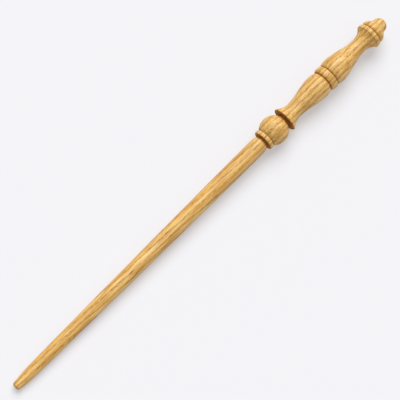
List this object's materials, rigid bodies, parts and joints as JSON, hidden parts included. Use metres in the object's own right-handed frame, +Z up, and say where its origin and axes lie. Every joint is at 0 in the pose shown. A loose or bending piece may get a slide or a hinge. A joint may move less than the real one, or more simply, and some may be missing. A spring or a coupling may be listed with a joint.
{
  "type": "magic wand",
  "caption": "Turned wooden wand with a long tapered shaft, a thin collar and a ball, and a waisted, beaded handle that ends in a domed pommel.",
  "frame": {"origin": "on the turning axis, at the middle of the centre ring of the handle, where the hand closes", "axes": "+X along the turning axis from the handle towards the tip, +Z up; the wand is round, so +Z may be any side"},
  "size_m": [0.3601, 0.0208, 0.0208],
  "materials": {
    "shaft_wood": "golden ring-porous hardwood, sanded and oiled to a satin sheen, grain along the shaft",
    "handle_wood": "golden ring-porous hardwood, sanded and oiled to a satin sheen, darker in the grooves"
  },
  "bodies": {
    "root": {"shaft": "shaft_wood", "collar": "handle_wood", "ball": "handle_wood", "fore_grip": "handle_wood", "centre_ring": "handle_wood", "rear_grip": "handle_wood", "pommel": "handle_wood"}
  },
  "joints": []
}
